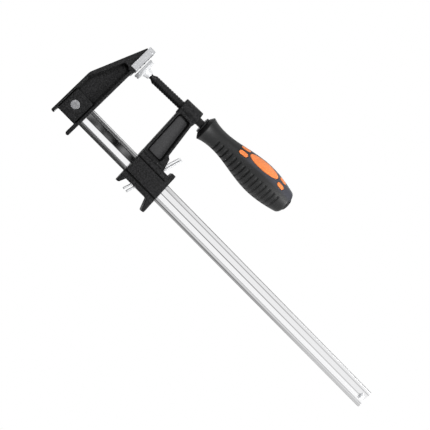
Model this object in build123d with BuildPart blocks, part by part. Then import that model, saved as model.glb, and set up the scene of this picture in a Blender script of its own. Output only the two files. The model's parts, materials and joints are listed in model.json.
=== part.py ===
from build123d import *
from math import atan2, cos, pi, radians, sin, sqrt, tan
import os

# Bar clamp, in millimetres. +X runs along the bar to its free end and +Z points towards the
# screw. The origin is below the middle of the clamp, at the height of its lowest foot.

os.makedirs("parts", exist_ok=True)

# Whole clamp
overall_length = 440.5
bar_axis_height = 26.3
throat_opening = 61.0
toe_in = 3.0

# Clearances
fixed_gap = 0.05
running_gap = 0.3
thread_gap = 0.08

# Soft edges of the castings
casting_edge = 0.5
arm_edge = 0.4

# Bar
bar_height = 20.3
bar_thickness = 7.0
bar_corner = 1.5
groove_half_height = 5.9
groove_step = 0.4
groove_depth = 1.8
stop_pin_radius = 2.2
stop_pin_inset = 5.0
stop_pin_proud = 2.0
stop_pin_chamfer = 0.5

# Fixed jaw, heights are taken from the bar's centre line
jaw_depth = 28.5
jaw_half_width = 9.5
jaw_back_flange = 3.0
jaw_front_flange = 4.0
jaw_back_leg_drop = 18.6
jaw_front_leg_drop = 25.2
jaw_floor_drop = 12.6
jaw_bend_rise = 32.5
jaw_bend_round = 12.0
leg_round_share = 0.45
jaw_tip_rise = 88.6
jaw_tip_thickness = 1.2
jaw_cheek_half_width = 8.2
jaw_cheek_rise = 13.2
jaw_web_half = 3.4
jaw_slope_flange = 4.2
jaw_panel_top = 62.9
jaw_panel_round = 4.4
socket_wall = 4.6
nose_rise = 65.2
nose_reach = 1.1
nose_height = 4.4
nose_slope = 2.0
pad_seat_depth = 5.5
jaw_pin_radius = 4.6
jaw_pin_from_face = 16.0
jaw_pin_rise = 0.6
jaw_pin_proud = 0.5
jaw_pin_chamfer = 0.4

# Pad on the fixed jaw
pad_thickness = 7.6
pad_height = 26.8
pad_width = 22.0
pad_corner = 4.0
pad_edge = 0.8
pad_groove_count = 4
pad_groove_pitch = 5.2
pad_groove_width = 1.0
pad_groove_depth = 0.6

# Sliding jaw, lengths are taken from its front face at the bar's centre line
housing_length = 41.3
housing_half_width = 9.5
housing_step = 0.8
band_rise = 10.0
band_drop = 8.3
ridge_low = 16.3
ridge_high = 18.9
housing_floor_drop = 14.2
window_front = 7.2
window_rear = 34.6
front_horn_drop = 21.8
front_horn_tip = 3.0
rear_horn_tip = 3.4
horn_round_share = 0.38
notch_floor_rise = 16.4
notch_front = 27.8
catch_rise = 21.3
catch_thickness = 4.9
shoulder_rise = 28.8
shoulder_rear = 23.9
shoulder_slope = 2.0
arm_half_width = 7.5
arm_rear_foot = 21.2
arm_taper = 7.8
arm_top_rise = 74.0
arm_front_flange = 2.1
arm_rear_flange = 2.7
arm_web_half = 3.2
arm_panel_proud = 0.8
arm_panel_margin = 1.3
arm_recess_low = 20.2
arm_recess_high = 68.2
arm_recess_round = 2.4
cavity_half_width = 6.4
cavity_roof_rise = 13.0
slot_rear = 30.7
spring_pocket_depth = 1.2

# Screw, its stations are taken along the screw from the centre of the ball
ball_from_face = 11.5
ball_rise = 73.25
ball_radius = 3.8
neck_radius = 2.5
neck_end = 4.7
thread_start = 8.3
thread_radius = 4.45
thread_end = 67.0
shank_radius = 4.1
shank_tail = 132.0
boss_start = 44.5
boss_length = 21.4
boss_radius = 9.0
boss_round = 0.5
collar_start = 72.2
collar_length = 2.2
collar_radius = 8.6
collar_round = 0.5

# Swivel pad
swivel_rest_gap = 1.25
cap_thickness = 2.1
cap_radius = 11.3
cap_edge = 0.6
disc_thickness = 2.9
disc_radius = 11.0
disc_edge = 0.5
bell_foot_radius = 5.8
bell_mouth_radius = 3.95
bell_length = 2.8
bell_dip = 0.2
mouth_radius = 3.45
socket_gap = 0.06
ring_radius = 2.85
ring_start = 2.9
ring_length = 0.8

# Grip of the handle, its outline runs along the screw
handle_end = 190.2
end_face_radius = 8.9
flare_station = 77.4
flare_radius = 13.9
flare_slope = -0.42
flare_face_radius = 9.4
waist_station = 95.3
waist_radius = 10.95
swell_station = 129.0
swell_radius = 15.65
swell_slope = 0.17
belly_station = 152.0
belly_radius = 18.1
tail_station = 186.0
tail_radius = 13.4
tail_slope = -0.24
core_radius = 7.6
core_end = 185.0
plug_radius = 7.1
plug_proud = 1.8
plug_round = 1.2
rib_count = 15
rib_first = 95.0
rib_last = 176.0
rib_groove_width = 2.4
rib_groove_floor = 1.2
rib_groove_depth = 1.0
rib_arc = 78.0
rib_angle = -48.0

# Inlays of the grip
inlay_angle = 42.0
inlay_depth = 1.6
inlay_proud = 0.3
inlay_gap = 0.12
large_station = 145.3
large_half_length = 18.3
large_half_width = 6.5
front_station = 120.8
front_half_length = 5.0
front_half_width = 2.3
front_spread = 17.0
rear_station = 170.3
rear_half_length = 4.5
rear_half_width = 2.1
rear_spread = 15.5

# Clutch plates
plate_thickness = 1.6
plate_half_width = 6.0
plate_corner = 2.4
plate_foot_corner = 1.2
front_plate_angle = 17.1
rear_plate_angle = 15.6
plate_pitch = 2.9
plate_top_rise = 37.7
plate_foot_drop = 22.8
plate_bar_gap = 0.2
plate_side_gap = 0.25
fulcrum_from_front = 25.05
fulcrum_rise = 20.2
fulcrum_gap = 0.25
release_angle = 9.0

# Spring behind the clutch plates
spring_wire = 0.6
spring_coil_radius = 1.45
spring_turns = 5
spring_drop = 12.45
spring_lead = 1.5
spring_end_gap = 0.25

# Places that follow from the sizes
back_x = -overall_length / 2
bar_end_x = overall_length / 2
face_x = back_x + jaw_depth
slide_x = face_x + throat_opening
bar_z = bar_axis_height
half_bar = bar_height / 2
half_thick = bar_thickness / 2
toe = radians(toe_in)
ball_centre = Vector(face_x + ball_from_face, 0, bar_z + ball_rise)
screw_line = Vector(cos(toe), 0, sin(toe))
screw_rise = Vector(-sin(toe), 0, cos(toe))
screw_axis = Axis(tuple(ball_centre), tuple(screw_line))
swivel_axis = Axis(tuple(ball_centre), (1, 0, 0))
front_view = (0, -1, 0)
clamp_side = Plane(origin=(face_x, 0, bar_z), x_dir=(1, 0, 0), z_dir=front_view)
slide_side = Plane(origin=(slide_x, 0, bar_z), x_dir=(1, 0, 0), z_dir=front_view)
screw_side = Plane(origin=tuple(ball_centre), x_dir=tuple(screw_line), z_dir=front_view)
swivel_side = Plane(origin=tuple(ball_centre), x_dir=(1, 0, 0), z_dir=front_view)
stop_pin_place = (bar_end_x - face_x - stop_pin_inset, 0)
jaw_pin_place = (-jaw_pin_from_face, jaw_pin_rise)


def lean(rise):
    """How far the sliding jaw's end faces are shifted at a height above the bar's centre line."""
    return -rise * tan(toe)


def arm_rear(rise):
    """Rear edge of the arm at a height above the bar's centre line."""
    return arm_rear_foot - (rise - shoulder_rise) * tan(radians(arm_taper))


def across_screw(station):
    """Plane square to the screw, at a station along it."""
    return Plane(origin=tuple(ball_centre + screw_line * station), z_dir=tuple(screw_line))


def side_edges(casting, half_width, low, high):
    """Edges of a casting's side faces at one half width, between two heights above the bar's axis."""
    edges = ShapeList()
    for face in casting.faces().filter_by(Axis.Y):
        if abs(abs(face.center().Y) - half_width) < fixed_gap:
            edges += face.edges().filter_by_position(Axis.Z, bar_z + low, bar_z + high)
    return edges


# Bar: I section with a shallow V down each side, pinned in the fixed jaw
with BuildPart() as bar:
    with BuildSketch(Plane.YZ.offset(back_x + socket_wall)) as bar_section:
        with Locations((0, bar_z)):
            Rectangle(bar_thickness, bar_height)
        fillet(bar_section.vertices(), bar_corner)
        for side in (-1, 1):
            with BuildLine():
                Polyline(
                    (side * bar_thickness, bar_z + groove_half_height),
                    (side * half_thick, bar_z + groove_half_height),
                    (side * (half_thick - groove_step), bar_z + groove_half_height - groove_step),
                    (side * (half_thick - groove_depth), bar_z),
                    (side * (half_thick - groove_step), bar_z - groove_half_height + groove_step),
                    (side * half_thick, bar_z - groove_half_height),
                    (side * bar_thickness, bar_z - groove_half_height),
                    close=True,
                )
            make_face(mode=Mode.SUBTRACT)
    extrude(amount=bar_end_x - back_x - socket_wall)
    with BuildSketch(clamp_side):
        with Locations(jaw_pin_place):
            Circle(jaw_pin_radius + fixed_gap)
        with Locations(stop_pin_place):
            Circle(stop_pin_radius + fixed_gap)
    extrude(amount=bar_thickness, both=True, mode=Mode.SUBTRACT)
bar.part.label = "bar"
export_step(bar.part, "parts/bar.step")

# Stop pin: stands out on both sides of the bar and stops the sliding jaw
with BuildPart() as bar_stop_pin:
    with BuildSketch(clamp_side):
        with Locations(stop_pin_place):
            Circle(stop_pin_radius)
    extrude(amount=half_thick + stop_pin_proud, both=True)
    chamfer(bar_stop_pin.faces().filter_by(Axis.Y).edges(), stop_pin_chamfer)
bar_stop_pin.part.label = "bar_stop_pin"
export_step(bar_stop_pin.part, "parts/bar_stop_pin.step")

# Fixed jaw: flanged casting with a web above, a cheek round the bar and a nose under the pad
slope_run = jaw_depth - pad_seat_depth - jaw_tip_thickness
slope_tilt = atan2(slope_run, jaw_tip_rise - jaw_bend_rise)
slope_width = jaw_slope_flange / cos(slope_tilt)
panel_bend = jaw_bend_rise + (jaw_back_flange - slope_width) / tan(slope_tilt)
panel_top_x = -jaw_depth + slope_width + (jaw_panel_top - jaw_bend_rise) * tan(slope_tilt)
with BuildPart() as fixed_jaw:
    with BuildSketch(clamp_side) as jaw_outline:
        with BuildLine():
            Polyline(
                (-jaw_depth, -jaw_back_leg_drop),
                (-jaw_depth + jaw_back_flange, -jaw_back_leg_drop),
                (-jaw_depth + jaw_back_flange, -jaw_floor_drop),
                (-jaw_front_flange, -jaw_floor_drop),
                (-jaw_front_flange, -jaw_front_leg_drop),
                (0, -jaw_front_leg_drop),
                (0, nose_rise - nose_height - nose_slope),
                (nose_reach, nose_rise - nose_height),
                (nose_reach, nose_rise),
                (-pad_seat_depth, nose_rise),
                (-pad_seat_depth, jaw_tip_rise),
                (-pad_seat_depth - jaw_tip_thickness, jaw_tip_rise),
                (-jaw_depth, jaw_bend_rise),
                close=True,
            )
        make_face()
        leg_tips = jaw_outline.vertices().group_by(Axis.Y)
        fillet(leg_tips[0], jaw_front_flange * leg_round_share)
        fillet(leg_tips[1], jaw_back_flange * leg_round_share)
        fillet(jaw_outline.vertices().sort_by_distance((-jaw_depth, jaw_bend_rise))[0], jaw_bend_round)
    extrude(amount=jaw_half_width, both=True)
    with BuildSketch(clamp_side) as panel_area:
        with BuildLine():
            Polyline(
                (-jaw_depth + jaw_back_flange, jaw_cheek_rise),
                (-jaw_front_flange, jaw_cheek_rise),
                (-jaw_front_flange, jaw_panel_top),
                (panel_top_x, jaw_panel_top),
                (-jaw_depth + jaw_back_flange, panel_bend),
                close=True,
            )
        make_face()
        fillet(panel_area.vertices().group_by(Axis.Y)[-1], jaw_panel_round)
    extrude(amount=jaw_half_width, both=True, mode=Mode.SUBTRACT)
    extrude(panel_area.sketch, amount=jaw_web_half, both=True)
    with BuildSketch(clamp_side) as cheek_area:
        with Locations((-jaw_front_flange, jaw_cheek_rise)):
            Rectangle(
                jaw_depth - jaw_front_flange - jaw_back_flange,
                jaw_cheek_rise + jaw_floor_drop,
                align=(Align.MAX, Align.MAX),
            )
    extrude(amount=jaw_half_width, both=True, mode=Mode.SUBTRACT)
    extrude(cheek_area.sketch, amount=jaw_cheek_half_width, both=True)
    with BuildSketch(Plane.YZ.offset(face_x)):
        with Locations((0, bar_z)):
            Rectangle(bar_thickness + 2 * fixed_gap, bar_height + 2 * fixed_gap)
    extrude(amount=socket_wall - jaw_depth, mode=Mode.SUBTRACT)
    with BuildSketch(clamp_side):
        with Locations(jaw_pin_place):
            Circle(jaw_pin_radius + fixed_gap)
    extrude(amount=jaw_half_width, both=True, mode=Mode.SUBTRACT)
    jaw_top = jaw_tip_rise + casting_edge
    fillet(side_edges(fixed_jaw, jaw_half_width, -bar_axis_height, jaw_top), casting_edge)
fixed_jaw.part.label = "fixed_jaw"
export_step(fixed_jaw.part, "parts/fixed_jaw.step")

# Rivet pin through the cheek and the bar
with BuildPart() as fixed_jaw_pin:
    with BuildSketch(clamp_side):
        with Locations(jaw_pin_place):
            Circle(jaw_pin_radius)
    extrude(amount=jaw_cheek_half_width + jaw_pin_proud, both=True)
    chamfer(fixed_jaw_pin.faces().filter_by(Axis.Y).edges(), jaw_pin_chamfer)
fixed_jaw_pin.part.label = "fixed_jaw_pin"
export_step(fixed_jaw_pin.part, "parts/fixed_jaw_pin.step")

# Pad of the fixed jaw: stands on the nose against the seat, with grip grooves across its face
with BuildPart() as fixed_jaw_pad:
    with BuildSketch(Plane.YZ.offset(face_x - pad_seat_depth)) as pad_shape:
        with Locations((0, bar_z + nose_rise)):
            Rectangle(pad_width, pad_height, align=(Align.CENTER, Align.MIN))
        fillet(pad_shape.vertices().group_by(Axis.Y)[-1], pad_corner)
    extrude(amount=pad_thickness)
    chamfer(fixed_jaw_pad.faces().sort_by(Axis.X)[-1].edges(), pad_edge)
    with BuildSketch(Plane.YZ.offset(face_x - pad_seat_depth + pad_thickness)):
        with Locations((0, bar_z + nose_rise + pad_height / 2)):
            with GridLocations(pad_width, pad_groove_pitch, 1, pad_groove_count):
                Rectangle(pad_width, pad_groove_width)
    extrude(amount=-pad_groove_depth, mode=Mode.SUBTRACT)
fixed_jaw_pad.part.label = "fixed_jaw_pad"
export_step(fixed_jaw_pad.part, "parts/fixed_jaw_pad.step")

# Sliding jaw: housing round the bar with two pairs of horns, a ribbed arm and the screw boss
catch_front = housing_length + lean(catch_rise) - catch_thickness
shoulder_top = shoulder_rise + shoulder_slope
rear_foot = housing_length + lean(-bar_axis_height)
with BuildPart() as sliding_jaw:
    with BuildSketch(slide_side, mode=Mode.PRIVATE) as slide_outline:
        with BuildLine():
            Polyline(
                (lean(-front_horn_drop), -front_horn_drop),
                (lean(-front_horn_drop) + front_horn_tip, -front_horn_drop),
                (window_front, -housing_floor_drop),
                (window_rear, -housing_floor_drop),
                (rear_foot - rear_horn_tip, -bar_axis_height),
                (rear_foot, -bar_axis_height),
                (housing_length + lean(catch_rise), catch_rise),
                (catch_front, catch_rise),
                (catch_front, notch_floor_rise),
                (notch_front, notch_floor_rise),
                (shoulder_rear, shoulder_rise),
                (arm_rear(shoulder_top), shoulder_top),
                (arm_rear(arm_top_rise), arm_top_rise),
                (lean(arm_top_rise), arm_top_rise),
                close=True,
            )
        make_face()
        horn_tips = slide_outline.vertices().group_by(Axis.Y)
        fillet(horn_tips[0], rear_horn_tip * horn_round_share)
        fillet(horn_tips[1], front_horn_tip * horn_round_share)
    with BuildSketch(slide_side):
        add(slide_outline.sketch_local)
        with Locations((notch_front, ridge_high)):
            Rectangle(2 * notch_front, arm_top_rise, align=(Align.MAX, Align.MIN), mode=Mode.SUBTRACT)
    extrude(amount=housing_half_width - housing_step, both=True)
    with BuildSketch(slide_side):
        with Locations((0, band_rise)):
            Rectangle(4 * housing_length, band_rise + band_drop, align=(Align.CENTER, Align.MAX))
        with Locations((0, ridge_high)):
            Rectangle(4 * housing_length, ridge_high - ridge_low, align=(Align.CENTER, Align.MAX))
        add(slide_outline.sketch_local, mode=Mode.INTERSECT)
    extrude(amount=housing_half_width, both=True)
    with BuildSketch(slide_side):
        with Locations((notch_front, ridge_low)):
            Rectangle(2 * notch_front, arm_top_rise, align=(Align.MAX, Align.MIN))
        add(slide_outline.sketch_local, mode=Mode.INTERSECT)
    extrude(amount=arm_half_width, both=True)
    with BuildSketch(slide_side) as recess_area:
        with BuildLine():
            Polyline(
                (lean(arm_recess_low) + arm_front_flange, arm_recess_low),
                (arm_rear(arm_recess_low) - arm_rear_flange, arm_recess_low),
                (arm_rear(arm_recess_high) - arm_rear_flange, arm_recess_high),
                (lean(arm_recess_high) + arm_front_flange, arm_recess_high),
                close=True,
            )
        make_face()
        fillet(recess_area.vertices(), arm_recess_round)
    extrude(amount=arm_half_width, both=True, mode=Mode.SUBTRACT)
    extrude(recess_area.sketch, amount=arm_web_half, both=True)
    with BuildSketch(slide_side):
        add(recess_area.sketch_local)
        offset(amount=-arm_panel_margin, mode=Mode.REPLACE)
    extrude(amount=arm_web_half + arm_panel_proud, both=True)
    with BuildSketch(screw_side) as boss_section:
        with Locations((boss_start, 0)):
            Rectangle(boss_length, boss_radius, align=(Align.MIN, Align.MIN))
        fillet(boss_section.vertices().group_by(Axis.Y)[-1], boss_round)
    revolve(axis=screw_axis)
    with BuildSketch(across_screw(boss_start)):
        Circle(thread_radius + thread_gap)
    extrude(amount=boss_length, mode=Mode.SUBTRACT)
    with BuildSketch(slide_side):
        with BuildLine():
            Polyline(
                (fulcrum_from_front - fulcrum_gap, fulcrum_rise),
                (window_front, -housing_floor_drop),
                (window_front, -bar_axis_height),
                (window_rear, -bar_axis_height),
                (window_rear, cavity_roof_rise),
                (slot_rear, cavity_roof_rise),
                (slot_rear, shoulder_rise),
                (fulcrum_from_front - fulcrum_gap, shoulder_rise),
                close=True,
            )
        make_face()
    extrude(amount=cavity_half_width, both=True, mode=Mode.SUBTRACT)
    with BuildSketch(Plane.YZ.offset(slide_x)):
        with Locations((0, bar_z)):
            Rectangle(bar_thickness + 2 * running_gap, bar_height + 2 * running_gap)
    extrude(amount=2 * housing_length, both=True, mode=Mode.SUBTRACT)
    with BuildSketch(Plane.YZ.offset(slide_x + window_rear)):
        with Locations((0, bar_z - spring_drop)):
            Circle(spring_coil_radius + spring_wire)
    extrude(amount=spring_pocket_depth, mode=Mode.SUBTRACT)
    band_low = -band_drop - casting_edge
    arm_low = (ridge_high + arm_recess_low) / 2
    fillet(side_edges(sliding_jaw, housing_half_width, band_low, band_rise + casting_edge), casting_edge)
    horn_width = housing_half_width - housing_step
    fillet(side_edges(sliding_jaw, horn_width, -bar_axis_height - casting_edge, band_low), casting_edge)
    fillet(side_edges(sliding_jaw, arm_half_width, arm_low, arm_recess_high + arm_edge), arm_edge)
sliding_jaw.part.label = "sliding_jaw"
export_step(sliding_jaw.part, "parts/sliding_jaw.step")


def plate_plane(behind, lean_angle):
    """Plane on the front face of a clutch plate, its local y running up the plate."""
    tilt = radians(lean_angle)
    start = (slide_x + fulcrum_from_front + behind, 0, bar_z + fulcrum_rise)
    return Plane(origin=start, x_dir=(0, 1, 0), z_dir=(cos(tilt), 0, -sin(tilt)))


def plate_slot(behind, lean_angle):
    """How far down a clutch plate its slot starts and ends, to clear the bar held and released."""
    starts = []
    ends = []
    for turn in (0, radians(release_angle)):
        tilt = radians(lean_angle) - turn
        height = fulcrum_rise + behind * sin(turn)
        starts.append((height - half_bar - plate_bar_gap - plate_thickness * sin(tilt)) / cos(tilt))
        ends.append((height + half_bar + plate_bar_gap) / cos(tilt))
    return min(starts), max(ends)


# Clutch plates: two slotted plates that grip the bar while they lean
for name, behind, lean_angle in (
    ("clutch_plate_front", 0, front_plate_angle),
    ("clutch_plate_rear", plate_pitch, rear_plate_angle),
):
    slot_start, slot_end = plate_slot(behind, lean_angle)
    plate_top = (plate_top_rise - fulcrum_rise) / cos(radians(lean_angle))
    plate_foot = (plate_foot_drop + fulcrum_rise) / cos(radians(lean_angle))
    with BuildPart() as clutch_plate:
        with BuildSketch(plate_plane(behind, lean_angle)) as plate_shape:
            with Locations((0, plate_top)):
                Rectangle(2 * plate_half_width, plate_top + plate_foot, align=(Align.CENTER, Align.MAX))
            fillet(plate_shape.vertices().group_by(Axis.Y)[-1], plate_corner)
            fillet(plate_shape.vertices().group_by(Axis.Y)[0], plate_foot_corner)
            with Locations((0, -slot_start)):
                Rectangle(
                    bar_thickness + 2 * plate_side_gap,
                    slot_end - slot_start,
                    align=(Align.CENTER, Align.MAX),
                    mode=Mode.SUBTRACT,
                )
        extrude(amount=plate_thickness)
    clutch_plate.part.label = name
    export_step(clutch_plate.part, f"parts/{name}.step")

# Spring: pushes the feet of the clutch plates forward, from a pocket in the rear wall
rear_tilt = radians(rear_plate_angle)
spring_z = bar_z - spring_drop
spring_foot_z = spring_z - spring_coil_radius
plate_back = fulcrum_from_front + plate_pitch + plate_thickness / cos(rear_tilt)
plate_back_at_foot = plate_back - (bar_z + fulcrum_rise - spring_foot_z) * tan(rear_tilt)
spring_start = slide_x + plate_back_at_foot + spring_end_gap
spring_end = slide_x + window_rear + spring_pocket_depth - spring_end_gap
coil_start = spring_start + spring_wire + spring_lead
coil_end = spring_end - spring_wire - spring_lead
coil_steps = 2 * spring_turns - 1


def coil_point(step):
    """Point of the spring's centre line, a number of half turns after its first one."""
    angle = pi * step
    along = coil_start + (coil_end - coil_start) * step / coil_steps
    return Vector(along, spring_coil_radius * cos(angle), spring_z + spring_coil_radius * sin(angle))


def coil_way(step):
    """Direction of the spring's wire at the same point."""
    angle = pi * step
    climb = (coil_end - coil_start) / coil_steps / pi
    return Vector(climb, -spring_coil_radius * sin(angle), spring_coil_radius * cos(angle)).normalized()


def join_wire(start, start_way, end, end_way):
    """Two tangent arcs from one point to another, leaving and arriving in the given directions."""
    span = end - start
    square = 2 * (start_way.dot(end_way) - 1)
    middle = -2 * span.dot(start_way + end_way)
    reach = (-middle - sqrt(middle * middle - 4 * square * span.dot(span))) / (2 * square)
    near = start + start_way * reach
    far = end - end_way * reach
    joint = (near + far) / 2
    TangentArc(start, joint, tangent=start_way)
    TangentArc(joint, end, tangent=far - near)


with BuildPart() as clutch_spring:
    with BuildLine() as spring_line:
        first_end = Vector(spring_start, 0, spring_foot_z)
        last_end = Vector(spring_end, 0, spring_foot_z)
        along_bar = Vector(1, 0, 0)
        first_turn = first_end + along_bar * spring_wire
        last_turn = last_end - along_bar * spring_wire
        Line(first_end, first_turn)
        join_wire(first_turn, along_bar, coil_point(0), coil_way(0))
        for step in range(coil_steps):
            join_wire(coil_point(step), coil_way(step), coil_point(step + 1), coil_way(step + 1))
        join_wire(coil_point(coil_steps), coil_way(coil_steps), last_turn, along_bar)
        Line(last_turn, last_end)
    with BuildSketch(Plane(origin=first_end, z_dir=along_bar)):
        Circle(spring_wire / 2)
    sweep()
clutch_spring.part.label = "clutch_spring"
export_step(clutch_spring.part, "parts/clutch_spring.step")

# Least gap between neighbouring curls of the spring, measured on points of its centre line
samples_per_turn = 40
sample_count = samples_per_turn * spring_turns
spring_centre = spring_line.wires()[0]
spring_points = [spring_centre @ (number / sample_count) for number in range(sample_count + 1)]
least_gap = min(
    (spring_points[second] - spring_points[first]).length - spring_wire
    for first in range(sample_count)
    for second in range(first + samples_per_turn // 2, sample_count + 1)
)
print("least gap between the spring's curls, mm:", round(least_gap, 3))

# Screw: ball end, neck, threaded length and the plain shank inside the handle
ball_meets_neck = sqrt(ball_radius**2 - neck_radius**2)
with BuildPart() as screw_spindle:
    with BuildSketch(screw_side):
        with BuildLine():
            ThreePointArc((-ball_radius, 0), (0, ball_radius), (ball_meets_neck, neck_radius))
            Polyline(
                (ball_meets_neck, neck_radius),
                (neck_end, neck_radius),
                (thread_start, thread_radius),
                (thread_end, thread_radius),
                (thread_end, shank_radius),
                (shank_tail, shank_radius),
                (shank_tail, 0),
                (-ball_radius, 0),
            )
        make_face()
    revolve(axis=screw_axis)
screw_spindle.part.label = "screw_spindle"
export_step(screw_spindle.part, "parts/screw_spindle.step")

# Retaining ring: sits round the screw's neck in the mouth of the swivel and keeps the ball in
with BuildPart() as swivel_retaining_ring:
    with BuildSketch(across_screw(ring_start)):
        Circle(ring_radius)
        Circle(neck_radius + socket_gap, mode=Mode.SUBTRACT)
    extrude(amount=ring_length)
swivel_retaining_ring.part.label = "swivel_retaining_ring"
export_step(swivel_retaining_ring.part, "parts/swivel_retaining_ring.step")

# Swivel: disc with a bell-shaped socket that holds the ball, square to the bar at rest
cap_front = pad_thickness - pad_seat_depth + swivel_rest_gap - ball_from_face
disc_front = cap_front + cap_thickness
disc_rear = disc_front + disc_thickness
socket_radius = ball_radius + socket_gap
mouth_depth = sqrt(socket_radius**2 - mouth_radius**2)
bell_middle = (disc_rear + bell_length) / 2
bell_middle_radius = (bell_foot_radius + bell_mouth_radius) / 2 - bell_dip
with BuildPart() as swivel_socket:
    with BuildSketch(swivel_side):
        with BuildLine():
            Polyline(
                (-socket_radius, 0),
                (disc_front, 0),
                (disc_front, disc_radius - disc_edge),
                (disc_front + disc_edge, disc_radius),
                (disc_rear - disc_edge, disc_radius),
                (disc_rear, disc_radius - disc_edge),
                (disc_rear, bell_foot_radius),
            )
            ThreePointArc(
                (disc_rear, bell_foot_radius),
                (bell_middle, bell_middle_radius),
                (bell_length, bell_mouth_radius),
            )
            Polyline(
                (bell_length, bell_mouth_radius),
                (bell_length, mouth_radius),
                (mouth_depth, mouth_radius),
            )
            ThreePointArc((mouth_depth, mouth_radius), (0, socket_radius), (-socket_radius, 0))
        make_face()
    revolve(axis=swivel_axis)
swivel_socket.part.label = "swivel_socket"
export_step(swivel_socket.part, "parts/swivel_socket.step")

# Facing of the swivel: a soft disc in front of the swivel's own disc
with BuildPart() as swivel_pad_cap:
    with BuildSketch(swivel_side):
        with BuildLine():
            Polyline(
                (cap_front, 0),
                (cap_front, cap_radius - cap_edge),
                (cap_front + cap_edge, cap_radius),
                (disc_front, cap_radius),
                (disc_front, 0),
                close=True,
            )
        make_face()
    revolve(axis=swivel_axis)
swivel_pad_cap.part.label = "swivel_pad_cap"
export_step(swivel_pad_cap.part, "parts/swivel_pad_cap.step")

# Collar: ring on the shank in front of the grip
with BuildPart() as handle_collar:
    with BuildSketch(across_screw(collar_start)):
        Circle(collar_radius)
        Circle(shank_radius + fixed_gap, mode=Mode.SUBTRACT)
    extrude(amount=collar_length)
    rims = handle_collar.edges().filter_by(GeomType.CIRCLE).sort_by(SortBy.RADIUS)[-2:]
    chamfer(rims, collar_round)
handle_collar.part.label = "handle_collar"
export_step(handle_collar.part, "parts/handle_collar.step")

# Core of the handle: hard tube under the grip, pressed on the shank
grip_front = collar_start + collar_length
with BuildPart() as handle_core:
    with BuildSketch(across_screw(grip_front)):
        Circle(core_radius)
    extrude(amount=core_end - grip_front)
    with BuildSketch(across_screw(grip_front)):
        Circle(shank_radius + fixed_gap)
    extrude(amount=shank_tail + fixed_gap - grip_front, mode=Mode.SUBTRACT)
handle_core.part.label = "handle_core"
export_step(handle_core.part, "parts/handle_core.step")


def radial(angle):
    """Direction out of the screw's line, at an angle above the level one towards the front."""
    turn = radians(angle)
    return Vector(0, -cos(turn), 0) + screw_rise * sin(turn)


def turned_grip(drop):
    """Grip as a plain turned form, its surface lowered by a drop."""
    with BuildPart() as turned:
        with BuildSketch(screw_side):
            with BuildLine():
                surface = Spline(
                    (flare_station, flare_radius - drop),
                    (waist_station, waist_radius - drop),
                    (swell_station, swell_radius - drop),
                    (belly_station, belly_radius - drop),
                    (tail_station, tail_radius - drop),
                    tangents=((1, flare_slope), (1, 0), (1, swell_slope), (1, 0), (1, tail_slope)),
                )
                TangentArc(surface @ 1, (handle_end, end_face_radius - drop), tangent=surface % 1)
                Polyline(
                    (handle_end, end_face_radius - drop),
                    (handle_end, 0),
                    (grip_front, 0),
                    (grip_front, flare_face_radius - drop),
                    (flare_station, flare_radius - drop),
                )
            make_face()
        revolve(axis=screw_axis)
    return turned.part


# Grip at its surface, at the floor of its pockets and at the top of its inlays
grip_surface = turned_grip(0)
pocket_floor = turned_grip(inlay_depth)
inlay_top = turned_grip(-inlay_proud)

# Inlays of one grip: name, station, half length, half width and angles off the middle of a side.
# One large oval lies between two pairs of small ones with straight sides.
front_spreads = (-front_spread, front_spread)
rear_spreads = (-rear_spread, rear_spread)
inlay_sets = (
    ("handle_inlays_large", large_station, large_half_length, large_half_width, (0,)),
    ("handle_inlays_front", front_station, front_half_length, front_half_width, front_spreads),
    ("handle_inlays_rear", rear_station, rear_half_length, rear_half_width, rear_spreads),
)


def inlay_ovals(station, half_length, half_width, spreads, gap):
    """Oval prisms of one set of inlays, on both sides of the grip, widened by a gap."""
    place = ball_centre + screw_line * station
    with BuildPart() as ovals:
        for side_angle in (inlay_angle, inlay_angle + 180):
            for spread in spreads:
                outward = radial(side_angle + spread)
                oval_plane = Plane(origin=tuple(place), x_dir=tuple(screw_line), z_dir=tuple(outward))
                with BuildSketch(oval_plane):
                    if spread == 0:
                        Ellipse(half_length + gap, half_width + gap)
                    else:
                        SlotOverall(2 * (half_length + gap), 2 * (half_width + gap))
                extrude(amount=2 * belly_radius)
    return ovals.part


# Inlays: oval plates that sit in the pockets of the grip and stand a little proud of it
for name, station, half_length, half_width, spreads in inlay_sets:
    with BuildPart() as inlay_set:
        add(inlay_ovals(station, half_length, half_width, spreads, 0))
        add(inlay_top, mode=Mode.INTERSECT)
        add(pocket_floor, mode=Mode.SUBTRACT)
    inlay_set.part.label = name
    export_step(inlay_set.part, f"parts/{name}.step")

# Room for the inlays in the grip
with BuildPart() as inlay_room:
    for name, station, half_length, half_width, spreads in inlay_sets:
        add(inlay_ovals(station, half_length, half_width, spreads, inlay_gap))
    add(pocket_floor, mode=Mode.SUBTRACT)

with BuildLine(mode=Mode.PRIVATE) as grip_edge:
    Spline(
        (flare_station, flare_radius),
        (waist_station, waist_radius),
        (swell_station, swell_radius),
        (belly_station, belly_radius),
        (tail_station, tail_radius),
        tangents=((1, flare_slope), (1, 0), (1, swell_slope), (1, 0), (1, tail_slope)),
    )


def grip_radius(station):
    """Radius of the grip's surface at a station, found by halving its outline again and again."""
    low = 0.0
    high = 1.0
    for _ in range(30):
        middle = (low + high) / 2
        if (grip_edge.line @ middle).X < station:
            low = middle
        else:
            high = middle
    return (grip_edge.line @ low).Y


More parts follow.
